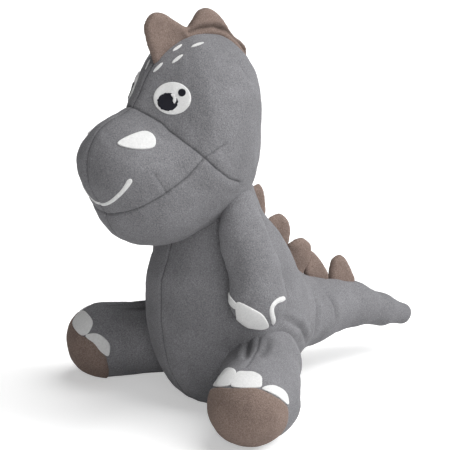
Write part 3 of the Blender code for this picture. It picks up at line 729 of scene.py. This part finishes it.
def embroider(name, skin, aim, outline, mat, lift=0.0006, stitches=0.0, body="head",
              base=0.0, roll=0.0007, around=72, mirrored=False):
    """A raised patch of satin stitch inside an outline in mm."""
    tree = skin_tree(skin)
    edge = rounded(outline, around)
    middle = edge.mean(0)
    reach = np.linalg.norm(edge - middle, axis=1).mean()
    shares = [1.0] + list(1 - np.array([0.15, 0.45, 0.9]) / reach)
    shares += list(np.linspace(shares[-1], 0, max(4, int(reach / 0.9)))[1:-1])
    bm = bmesh.new()
    turn = np.array([math.cos(math.radians(stitches)), math.sin(math.radians(stitches))])
    rings, across = [], []
    for share in shares:
        ring = []
        for point in edge:
            at = middle + share * (point - middle)
            hit, normal = drop_on(tree, aim, *at)
            inside = (1 - share) * np.linalg.norm(point - middle) * MM
            height = base + lift * math.sqrt(max(0.0, 1 - (1 - min(inside / roll, 1)) ** 2))
            ring.append(bm.verts.new(hit + normal * (height if share < 1 else base - 0.0002)))
            across.append(float(at @ turn) / STITCH_WAVE)
        rings.append(ring)
    hit, normal = drop_on(tree, aim, *middle)
    top = bm.verts.new(hit + normal * (base + lift))
    bottom = bm.verts.new(hit - normal * 0.0006)
    across += [float(middle @ turn) / STITCH_WAVE] * 2
    for a, b in zip(rings, rings[1:]):
        for i in range(around):
            k = (i + 1) % around
            bm.faces.new((a[i], a[k], b[k], b[i]))
    for i in range(around):
        k = (i + 1) % around
        bm.faces.new((rings[-1][i], rings[-1][k], top))
        bm.faces.new((rings[0][k], rings[0][i], bottom))
    return stitched(new_piece(name, bm, mirrored), mat, across, body)


def ellipse(width, height, middle=(0, 0), ragged=0.0):
    """An oval outline; a ragged one has the small steps of stitch ends."""
    angles = np.linspace(0, 2 * math.pi, 48 if ragged else 16, endpoint=False)
    swell = 1 + ragged * (np.sin(11 * angles) + np.sin(17 * angles + 1))
    return np.stack([width / 2 * swell * np.cos(angles), height / 2 * swell * np.sin(angles)], -1) + middle


# %% [markdown]
# ## The face
# Each eye is a white oval with a navy pupil, a half-moon of light left open in it, and a dot
# above. The nostrils are white teardrops, and short dashes run beside the crest.

# %% Eyes, nostrils and dashes
EYE = onto((0.0245, -0.0600, 0.2215), 42, 22)
GLEAM = [(-2.6, 3.4), (-0.6, 3.3), (0.9, 1.6), (1.0, -0.8), (-0.2, -2.4), (-1.2, -1.0), (-1.2, 1.2)]
NOSTRIL = [(-14.0, -1.7), (-7.4, 2.9), (1.7, 5.9), (7.2, 4.3), (9.8, 0.3), (8.8, -4.0), (2.2, -5.4),
           (-7.0, -4.5)]
DASHES = [(onto((0.0060, -0.0590, 0.2385), 40, 50), (-2.8, -2.4), (3.0, 3.6)),
          (onto((0.0138, -0.0494, 0.2443), 40, 55), (-3.4, -2.4), (3.2, 3.9)),
          (onto((0.0145, -0.0336, 0.2515), 60, 60), (-4.3, -1.8), (4.5, 2.2)),
          (onto((0.0138, -0.0494, 0.2443), 40, 55), (-4.3, 6.7), (0.8, 13.1))]


def streak(start, end, width):
    """The outline of a short pointed stitch."""
    start, end = np.array(start), np.array(end)
    side = np.array([start[1] - end[1], end[0] - start[0]]) / np.linalg.norm(end - start) * width / 2
    near, far = start + 0.3 * (end - start), start + 0.7 * (end - start)
    return [start, near - side, far - side, end, far + side, near + side]


for side, flip in (("left", False), ("right", True)):
    eye = embroider(f"eye_satin_{side}", head, EYE, ellipse(24.5, 20.8, (-1.9, 1.0)), WHITE,
                    0.0007, 15, around=96, mirrored=flip)
    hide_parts(f"eye_white_{side}")
    pupil = embroider(f"pupil_satin_{side}", head, EYE, ellipse(13.3, 11.5, (-4.5, -1.5), 0.022),
                      BLACK, 0.0005, 90, base=0.0006, around=96, mirrored=flip)
    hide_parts(f"pupil_{side}")
    embroider(f"eye_gleam_{side}", head, EYE, GLEAM, WHITE, 0.0004, 90, base=0.0010, mirrored=flip)
    dot = embroider(f"eye_dot_satin_{side}", head, EYE, ellipse(5.1, 5.1, (4.3, 4.7)), BLACK, 0.0005, 0,
                    base=0.0006, around=48, mirrored=flip)
    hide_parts(f"eye_dot_{side}")
    nostril = embroider(f"nostril_satin_{side}", head, onto((0.0255, -0.0880, 0.1988), 50, 12),
                        NOSTRIL, WHITE, 0.0008, 8, around=96, mirrored=flip)
    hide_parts(f"nostril_{side}")
    for number, (aim, start, end) in enumerate(DASHES, 1):
        dash = embroider(f"dash_satin_{number}_{side}", head, aim, streak(start, end, 2.1), WHITE, 0.0005,
                         roll=0.0005, around=40, mirrored=flip)
        if number < 4:
            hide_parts(f"brow_dash_{number}_{side}")
print("face embroidery made")

# %% [markdown]
# ## The smile
# The smile is one line of satin stitch, 2 mm wide. It could be a curve with a round bevel, but
# then it would float off the curved jaw. A ribbon of rows dropped onto the skin follows it.

# %% Helper for an embroidered line, and the smile
def embroider_line(name, skin, aim, path, width, mat, lift=0.0006, body="head"):
    """A rounded satin line along a path of (u, v) in mm, tapering at both ends."""
    tree = skin_tree(skin)
    path = np.array(path, float)
    direction = np.gradient(path, axis=0)
    direction /= np.linalg.norm(direction, axis=1)[:, None]
    lengths = np.concatenate([[0], np.cumsum(np.linalg.norm(np.diff(path, axis=0), axis=1))])
    bm = bmesh.new()
    across, rows = [], []
    for (u, v), (du, dv), run in zip(path, direction, lengths):
        end = min(run, lengths[-1] - run)
        half = width / 2 * math.sqrt(max(0.08, 1 - (1 - min(end / width, 1)) ** 2))
        row = []
        for k in range(9):
            t = -1 + k / 4
            hit, normal = drop_on(tree, aim, u - dv * half * t, v + du * half * t)
            row.append(bm.verts.new(hit + normal * (lift * math.sqrt(max(0.0, 1 - t * t)) - 0.0002)))
        hit, normal = drop_on(tree, aim, u, v)
        row.append(bm.verts.new(hit - normal * 0.0008))
        across += [run / STITCH_WAVE] * len(row)
        rows.append(row)
    for a, b in zip(rows, rows[1:]):
        for k in range(len(a)):
            bm.faces.new((a[k], a[(k + 1) % len(a)], b[(k + 1) % len(b)], b[k]))
    bm.faces.new(rows[0])
    bm.faces.new(rows[-1][::-1])
    return stitched(new_piece(name, bm), mat, across, body)


def smooth_path(points, degree, count):
    """A smooth open path close to the points."""
    points = np.array(points, float)
    t = np.concatenate([[0], np.cumsum(np.linalg.norm(np.diff(points, axis=0), axis=1))])
    even = np.linspace(0, t[-1], count)
    return np.stack([np.polyval(np.polyfit(t, points[:, i], degree), even) for i in (0, 1)], -1)


HALF_SMILE = [(0, 0), (2.1, 0.2), (7, 1.2), (13.3, 4.7), (21.9, 11.3), (25.8, 17.0), (27.7, 21.7)]
whole = [(-x, z) for x, z in HALF_SMILE[:0:-1]] + HALF_SMILE
smile = embroider_line("smile_satin", head, onto((0, -0.100, 0.1545), 0, 0), smooth_path(whole, 8, 81),
                       2.2, WHITE)
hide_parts("mouth_line")
print("smile", len(smile.data.vertices), "points")

# %% [markdown]
# ## Claws
# Three white satin claws are stitched on each paw. Two are filled patches and the outer one is a
# hooked line. The right paw's claws are swung back with the arm before they are mirrored.

# %% Claws on the paws
CLAW_1 = [(-4.2, 5.0), (-1.2, 1.4), (2.2, -1.0), (8.2, -2.4), (8.6, 1.2), (3.8, 3.6)]
CLAW_2 = [(-8.0, 9.2), (-8.2, -2.0), (-7.6, -10.4), (2.6, -10.8), (12.2, -11.0), (9.6, 1.4), (1.2, 7.8)]
CLAW_3 = [(6.2, 4.2), (1.6, 5.4), (-2.6, 6.0), (-5.6, 4.4), (-6.6, 1.6), (-5.2, -2.6), (-3.6, -7.0),
          (-1.8, -12.4)]
right_arm = mirrored_piece(arm, "arm_skin_right", SWUNG_BACK)
claws = [
    embroider("claw_1_satin_left", arm, onto((0.0505, -0.0366, 0.0890), 16, -6), CLAW_1, WHITE, 0.0007, 70,
              "arm_left", around=64),
    embroider("claw_2_satin_left", arm, onto((0.0660, -0.0320, 0.0810), 50, -14), CLAW_2, WHITE, 0.0008, 70,
              "arm_left", around=80),
    embroider_line("claw_3_satin_left", arm, onto((0.0735, -0.0130, 0.0850), 78, -6),
                   smooth_path(CLAW_3, 4, 40), 3.9, WHITE, 0.0008, "arm_left")]
for number, claw in enumerate(claws, 1):
    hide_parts(f"claw_{number}_left")
    copy = mirrored_piece(claw, f"claw_{number}_satin_right", SWUNG_BACK)
    copy.data.materials.append(WHITE)
    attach(copy, "arm_right")
    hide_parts(f"claw_{number}_right")
print("claws:", 2 * len(claws))

# %% [markdown]
# ## Toes
# Toes are easiest to draw on the foot unrolled: across is the turn about the leg's axis, up is the
# way along it. Rays go out from that axis. The right foot is rolled inwards more than the left, as
# soft feet are, so its toes have outlines of their own.

# %% Toes on the feet
LEG_AXIS = (Vector(FOOT) - Vector(HIP)).normalized()
FOOT_SIDE = LEG_AXIS.cross(Vector((0, 0, 1))).normalized()
FOOT_UP = FOOT_SIDE.cross(LEG_AXIS)
FOOT_BALL = 26.2  # radius of the foot's ball in mm


def across_foot(turn):
    """Direction across the foot: 0 degrees is its top, 90 its inner side."""
    return FOOT_UP * math.cos(math.radians(turn)) + FOOT_SIDE * math.sin(math.radians(turn))


def foot_aim(u, v):
    """Aims from inside the foot; u is mm round its ball, v is mm along the leg."""
    return Vector(FOOT) + LEG_AXIS * v * MM, across_foot(math.degrees(u / FOOT_BALL))


TOES = {
    "left": [[(60, -7), (50, -14), (33, -10), (17, 2), (21, 10), (30, 12.6), (47, 9), (61, 0)],
             [(14, 3), (2, 3), (-9, 3), (-20, 5.5), (-24, 9), (-25, 13), (-9, 15.6), (15, 15.3),
              (25, 13.0), (20, 8)],
             [(-27, 13.6), (-33, 10.4), (-46, 5.8), (-60, 2.6), (-71, 2.6), (-80, 4.9), (-68, 9),
              (-54, 11.4), (-40, 13.3)]],
    "right": [[(61, 8), (61, 1), (69, -4.5), (82, -7.7), (98, -5.6), (90, -1), (76, 3), (66, 8)],
              [(-7, 16), (6, 11.5), (20, 8), (39, 3.5), (50, 3.7), (60, 7), (60, 12.5), (42, 17.5),
               (19, 19.5)],
              [(-12, 15.6), (-18, 11.4), (-31, 7.8), (-45, 4.6), (-56, 4.6), (-64, 6.9), (-53, 11),
               (-39, 13.4), (-25, 15.3)]]}
right_leg = mirrored_piece(leg, "leg_skin_right")
for side, outlines in TOES.items():
    for number, outline in enumerate(outlines, 1):
        unrolled = [(math.radians(turn) * FOOT_BALL, along) for turn, along in outline]
        toe = embroider(f"toe_{number}_satin_{side}", leg, foot_aim, unrolled, WHITE, 0.0007, 0,
                        f"leg_{side}", around=72, mirrored=side == "right")
        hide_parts(f"toe_{number}_{side}")
print("toes:", 2 * len(outlines))

# %% [markdown]
# ## Brown soles
# A round brown cap closes the end of each foot under the toes. It wraps half of the foot's ball,
# so its points are sent out as rays from the ball's middle. A table says how far along the leg its
# edge lies at each turn: it runs lower under the toes.

# %% Caps on the feet
SOLE_EDGES = {
    "left": [(-180, 5), (-144, 5.5), (-111, 5.5), (-82, 5.4), (-68, 9.0), (-55, 11.8), (-40, 13.6),
             (-23, 14.2), (9, 15.8), (25, 14.6), (36, 12.6), (50, 8.0), (65, 1.5), (90, 2), (120, 3.5),
             (180, 5)],
    "right": [(-180, 2), (-100, 4), (-64, 7.5), (-53, 11), (-39, 13.6), (-20, 15.4), (-7, 16.2), (19, 19.3),
              (42, 17.3), (60, 12.2), (68, 6), (78, 1.5), (90, -2), (100, -4.5), (125, -4), (180, 2)]}


def sole_cap(name, edge_table, mirrored, around=112, steps=26, lift=0.0009):
    """A closed cap on the end of the foot, cut off under the toes."""
    tree = skin_tree(leg)
    turns, edges = zip(*edge_table)
    bm = bmesh.new()
    rings = []
    for j in range(steps):
        ring = []
        for turn in np.linspace(-180, 180, around, endpoint=False):
            rim = math.acos(np.interp(turn, turns, edges) / FOOT_BALL)
            lean = rim * (1 - j / steps)
            ray = LEG_AXIS * math.cos(lean) + across_foot(turn) * math.sin(lean)
            hit, normal, *_ = tree.ray_cast(Vector(FOOT), ray, 0.06)
            inside = (rim - lean) * 0.026
            height = lift * math.sqrt(max(0.0, 1 - (1 - min(inside / 0.0012, 1)) ** 2))
            ring.append(bm.verts.new(hit + normal * (height if j else -0.0003)))
        rings.append(ring)
    hit, normal, *_ = tree.ray_cast(Vector(FOOT), LEG_AXIS, 0.06)
    front, back = bm.verts.new(hit + normal * lift), bm.verts.new(Vector(FOOT))
    for i in range(around):
        k = (i + 1) % around
        for a, b in zip(rings, rings[1:]):
            bm.faces.new((a[i], a[k], b[k], b[i]))
        bm.faces.new((rings[-1][i], rings[-1][k], front))
        bm.faces.new((rings[0][k], rings[0][i], back))
    piece = new_piece(name, bm, mirrored)
    piece.data.materials.append(BROWN)
    return piece


for side, edge_table in SOLE_EDGES.items():
    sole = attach(sole_cap(f"sole_cap_{side}", edge_table, side == "right"), f"leg_{side}")
    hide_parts(f"sole_{side}")
    print(sole.name, len(sole.data.vertices), "points")

# %% [markdown]
# ## Brown fins
# The crest and the spikes are two layers of brown fleece sewn round the edge, turned and lightly
# stuffed. Each is a flat outline filled with small triangles on both sides; its thickness rises
# steeply from the seam and levels off, and broad noise gives it the slack look of thin stuffing.

# %% Helper for a fin
def fin(name, outline, seed, fold=None, sideways=0.0, thick=0.0058, cell=0.0011):
    """A stuffed two-layer fin in the middle plane from a (y, z) outline in mm."""
    outline = np.array(outline) * MM
    edge = rounded(outline, max(40, int(np.linalg.norm(np.diff(outline, axis=0), axis=1).sum() / cell)))
    low, high = edge.min(0), edge.max(0)
    grid = [Vector((y, z)) for y in np.arange(low[0], high[0], cell)
            for z in np.arange(low[1], high[1], cell)]
    gap = np.min([np.linalg.norm(np.array(grid) - p, axis=1) for p in edge], axis=0)
    points = [Vector(p) for p in edge] + [g for g, d in zip(grid, gap) if d > 0.6 * cell]
    verts, _, faces, *_ = delaunay_2d_cdt(points, [], [list(range(len(edge)))], 1, 1e-7)
    flat = np.array(verts)
    away = np.min([nearest_on(np.array([[*a, 0], [*b, 0]]), np.c_[flat, np.zeros(len(flat))])[0]
                   for a, b in zip(edge, np.roll(edge, -1, 0))], axis=0)
    on_rim = away < 1e-6
    swell = np.sqrt(1 - (1 - np.clip(away / 0.0042, 0, 1)) ** 2)
    wrinkle = lumps(np.c_[flat, np.full(len(flat), 0.01)], 0.0075, seed)
    lean = 0.0009 * lumps(np.c_[flat, np.full(len(flat), 0.05)], 0.020, seed + 3)
    half = thick / 2 * swell * (1 + 0.16 * wrinkle)
    if sideways:
        lean += sideways * eased(body_form(np.c_[0 * flat[:, 0], flat]) / 0.012)
    painted_shade = np.zeros(len(flat))
    if fold:
        line = np.c_[np.array(fold) * MM, np.zeros(len(fold))]
        off = nearest_on(line, np.c_[flat, np.zeros(len(flat))])[0]
        half *= 1 - 0.5 * np.exp(-(off / 0.0013) ** 2) + 0.25 * np.exp(-((off - 0.0035) / 0.002) ** 2)
        # painted shade: the colour is darkened along the fold's crease
        painted_shade = 0.9 * np.exp(-(off / 0.0008) ** 2)
    bm = bmesh.new()
    left = [bm.verts.new((x + h, y, z)) for (y, z), h, x in zip(flat, half, lean)]
    right = [left[i] if on_rim[i] else bm.verts.new((lean[i] - half[i], *flat[i]))
             for i in range(len(flat))]
    painted_shades = list(painted_shade) + [m for m, shared in zip(painted_shade, on_rim) if not shared]
    for face in faces:
        bm.faces.new([left[i] for i in face])
        bm.faces.new([right[i] for i in reversed(face)])
    piece = new_piece(name, bm)
    # the painted shade of the fold is stored in the sewn attribute for the brown fleece
    piece.data.attributes.new("sewn", "FLOAT", "POINT").data.foreach_set("value", painted_shades)
    piece.data.materials.append(BROWN)
    print(name, len(piece.data.vertices), "points")
    return piece


# %% [markdown]
# ## Crest and spikes
# The outlines are y and z in the middle plane, drawn a little way into the head and the back so
# that no edge shows. The rump fin and the first tail fin lean apart where they would touch.

# %% The crest and its spikes
CREST = [(-56.0, 238.0), (-60.0, 246.0), (-63.7, 256.0), (-64.5, 265.5), (-59.0, 272.2), (-50.0, 271.2),
         (-40.0, 265.0), (-31.5, 260.2), (-27.0, 264.0), (-22.0, 269.5), (-15.5, 270.7), (-8.5, 267.5),
         (-2.0, 261.5), (4.0, 253.5), (8.5, 248.5), (14.0, 244.5), (17.8, 239.0), (16.0, 232.0),
         (6.0, 240.0), (-12.0, 248.0), (-30.0, 248.0), (-45.0, 240.0)]
CREST_FOLD = [(-31.7, 257.5), (-22.9, 258.7), (-12.3, 258.7), (0, 254.2), (9.1, 246.4), (15, 239),
              (18.3, 235.2)]
SPIKES = [
    ("nape_fin", "nape_spike", 23, 0.0,
     [(25.5, 145.3), (29, 145.4), (32.5, 139.2), (33.4, 122.9), (22, 119), (10, 121), (12, 141)]),
    ("back_fin", "back_spike", 26, 0.0,
     [(35.2, 118.1), (40.4, 121), (47.4, 121.4), (54.0, 116), (56.0, 109), (55.5, 104.8), (52, 96.1),
      (42, 92), (20, 106), (22, 112)]),
    ("rump_fin", "rump_spike", 29, 0.0016,
     [(52.5, 96), (56.4, 100.3), (64.4, 101.7), (70.6, 98), (73.5, 94.2), (73.6, 87), (70.1, 79),
      (62, 69), (50, 78)]),
    ("tail_fin_1", "tail_spike_1", 32, -0.0014,
     [(71.8, 89.5), (76.3, 89.4), (81.8, 84.7), (87.3, 77.4), (91.2, 68.3), (88, 58), (76, 60), (69, 76)]),
    ("tail_fin_2", "tail_spike_2", 35, 0.0,
     [(92.1, 68.8), (93.7, 78), (97, 81), (101, 82.1), (104.6, 80), (107.6, 76.8), (112.4, 68.5),
      (115.4, 60.5), (108, 53), (94, 55)])]
crest = fin("crest_fin", CREST, 20, CREST_FOLD)
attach(crest, "head")
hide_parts("head_crest")
for name, node, seed, sideways, outline in SPIKES:
    piece = fin(name, outline, seed, sideways=sideways)
    if node in ("nape_spike", "back_spike"):
        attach(piece, "torso")
    else:
        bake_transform(piece)
    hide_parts(node)

# %% [markdown]
# ## Put the skins on the bodies
# The head, arm and leg skins ride on their bodies. The body's skin runs over the tail's joint and
# stays where it is, and so do the fins on the tail.

# %% Ride on the bodies
for piece, bodies, nodes in (
        (head, "head", ["head_face_left", "head_face_right", "muzzle_left", "muzzle_right", "jaw_panel",
                        "head_stuffing"]),
        (arm, "arm_left", ["arm_cover_left", "arm_stuffing_left"]),
        (right_arm, "arm_right", ["arm_cover_right", "arm_stuffing_right"]),
        (leg, "leg_left", ["leg_cover_left", "leg_stuffing_left"]),
        (right_leg, "leg_right", ["leg_cover_right", "leg_stuffing_right"])):
    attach(piece, bodies)
    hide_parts(*nodes)
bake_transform(body)
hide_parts("torso_left_panel", "torso_right_panel", "seat_panel", "torso_stuffing", "pellet_bag",
            "tail_cover", "tail_stuffing")
for piece in (head, body, arm, right_arm, leg, right_leg):
    piece.data.materials.append(GREY)
print("skins placed")

# %% [markdown]
# ## Floor
# The toy sits on a sheet of pale paper. Seen directly the paper also glows, as if lit through from
# below, but that glow throws no light on the toy, so its underside keeps its shade.

# %% Paper floor
bpy.ops.mesh.primitive_plane_add(size=12)
floor = bpy.context.object
floor.name = "paper_floor"
paper, paper_tree, paper_shader = shader_nodes("pale_paper")
put(paper_shader, Base_Color=(0.82, 0.82, 0.82, 1), Roughness=0.9, Emission_Color=(1, 1, 1, 1))
direct = paper_tree.nodes.new("ShaderNodeLightPath")
glow = paper_tree.nodes.new("ShaderNodeMath")
glow.operation = "MULTIPLY"
glow.inputs[1].default_value = 0.42
paper_tree.links.new(direct.outputs["Is Camera Ray"], glow.inputs[0])
paper_tree.links.new(glow.outputs[0], paper_shader.inputs["Emission Strength"])
floor.data.materials.append(paper)
print("floor:", floor.name)

# %% [markdown]
# ## Light and camera
# A wide, soft sun comes from behind the toy's left shoulder and a round lamp adds to it, so the
# back and the near leg are bright and the front falls off. A weaker lamp at the front opens the
# face. A long lens from 1.5 m keeps the proportions calm.

# %% Studio
def stand(name, data, azimuth, elevation, distance, target=(0, 0, 0.12)):
    """Places a light or a camera round the toy, turned towards the target."""
    obj = bpy.data.objects.new(name, data)
    out = outward(azimuth, elevation)
    obj.location = Vector(target) + out * distance
    obj.rotation_euler = (-out).to_track_quat("-Z", "Y").to_euler()
    bpy.context.scene.collection.objects.link(obj)
    return obj


for name, azimuth, elevation, distance, size, power in (
        ("side_light", 56, 14, 1.8, 1.1, 9.5), ("back_light", 140, 30, 1.7, 0.9, 15)):
    lamp = bpy.data.lights.new(name, "AREA")
    lamp.shape, lamp.size, lamp.energy = "DISK", size, power
    stand(name, lamp, azimuth, elevation, distance)
sun = bpy.data.lights.new("ceiling_light", "SUN")
sun.energy, sun.angle = 3.15, math.radians(60)
stand("ceiling_light", sun, 127, 60, 2.0)

world = bpy.data.worlds.new("room")
world.use_nodes = True
room = world.node_tree
dim, backdrop = room.nodes["Background"], room.nodes.new("ShaderNodeBackground")
put(dim, Color=(1, 1, 1, 1), Strength=0.05)
put(backdrop, Color=(1, 1, 1, 1), Strength=1.0)
seen, either = room.nodes.new("ShaderNodeLightPath"), room.nodes.new("ShaderNodeMixShader")
room.links.new(seen.outputs["Is Camera Ray"], either.inputs["Fac"])
room.links.new(dim.outputs[0], either.inputs[1])
room.links.new(backdrop.outputs[0], either.inputs[2])
room.links.new(either.outputs[0], room.nodes["World Output"].inputs["Surface"])
bpy.context.scene.world = world
bpy.context.scene.view_settings.view_transform = "Standard"

lens = bpy.data.cameras.new("camera")
lens.lens = 180
camera = stand("camera", lens, 52, 16.5, 1.5, (0, 0, 0.122))
bpy.context.scene.camera = camera
print("camera at", [round(c, 3) for c in camera.location])
